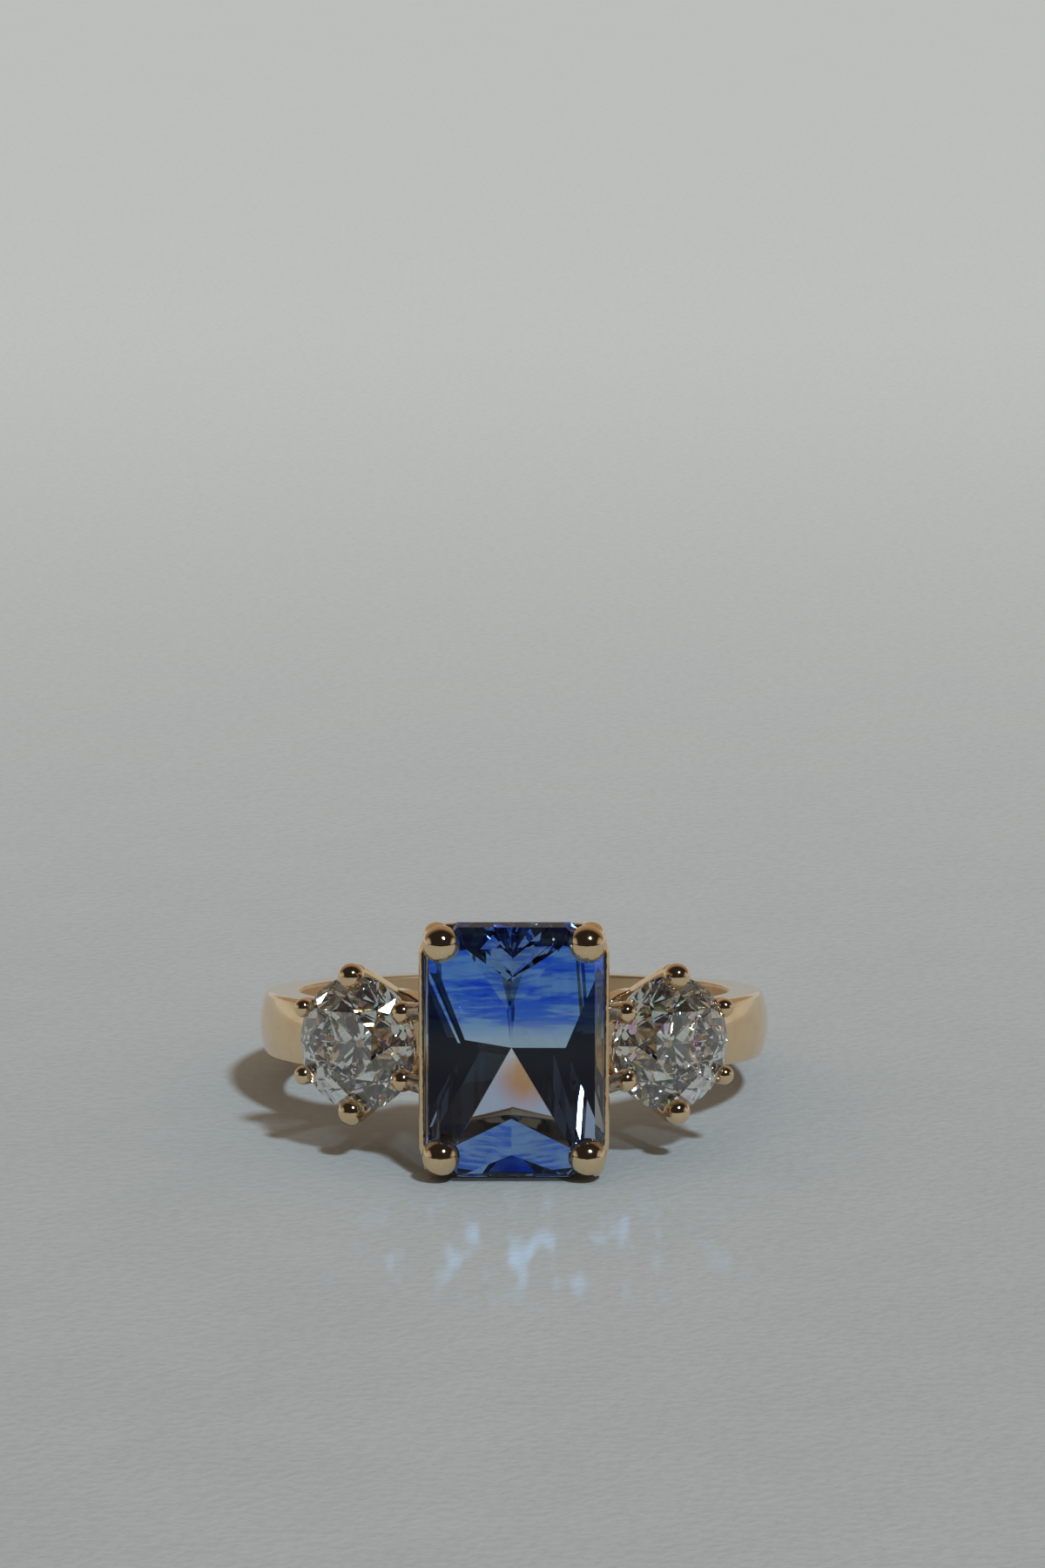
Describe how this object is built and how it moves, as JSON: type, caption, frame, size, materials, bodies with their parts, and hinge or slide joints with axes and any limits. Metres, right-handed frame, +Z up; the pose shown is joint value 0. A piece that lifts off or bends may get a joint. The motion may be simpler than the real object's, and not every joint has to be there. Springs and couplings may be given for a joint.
{
  "type": "three stone ring",
  "caption": "Finger ring with a cut-cornered rectangular stone between two round stones, in soldered claw settings on a plain domed band.",
  "frame": {"origin": "middle of the finger hole", "axes": "+Z up from the surface that the ring lies on, -Y towards the three stones, X across the ring; the finger axis leans 9 degrees from +Z towards +Y"},
  "size_m": [0.0196, 0.0239, 0.0094],
  "materials": {
    "gold": "polished yellow gold",
    "sapphire": "polished blue gemstone, faceted",
    "diamond": "polished colourless gemstone, faceted"
  },
  "bodies": {
    "root": {"ring_mount": "gold", "centre_stone": "sapphire", "left_stone": "diamond", "right_stone": "diamond"}
  },
  "joints": []
}
